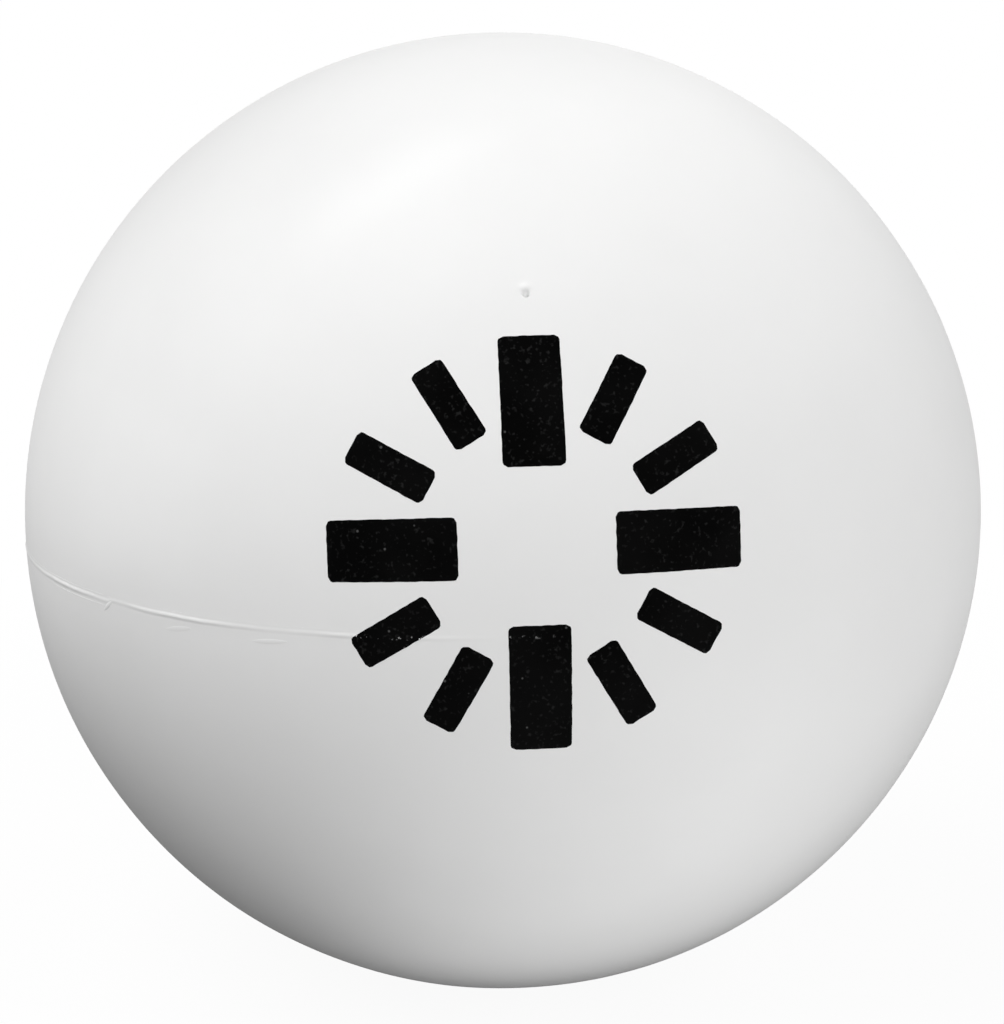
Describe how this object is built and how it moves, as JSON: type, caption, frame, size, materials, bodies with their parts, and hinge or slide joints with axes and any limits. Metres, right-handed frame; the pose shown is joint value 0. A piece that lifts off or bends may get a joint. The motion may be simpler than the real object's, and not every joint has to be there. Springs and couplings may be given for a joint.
{
  "type": "roundnet ball",
  "caption": "Small hollow inflatable rubber ball for roundnet, cured from half shells with a fine raised seam bead, and a self-sealing needle valve in its wall.",
  "frame": {"origin": "centre of the ball", "axes": "+Z along the mould's axis, square to the plane of the seam; -Y towards the side with the needle valve and the print; +X to the right of a viewer who faces that side"},
  "size_m": [0.0972, 0.0972, 0.097],
  "materials": {
    "casing_rubber": "satin white moulded rubber",
    "seam_rubber": "satin white cured rubber",
    "housing_rubber": "matte pale grey rubber",
    "core_rubber": "matte dark butyl rubber",
    "print_ink": "satin black flexible ink"
  },
  "bodies": {
    "root": {"upper_shell": "casing_rubber", "lower_shell": "casing_rubber", "seam_bead": "seam_rubber", "valve_housing": "housing_rubber", "valve_core": "core_rubber"}
  },
  "joints": []
}
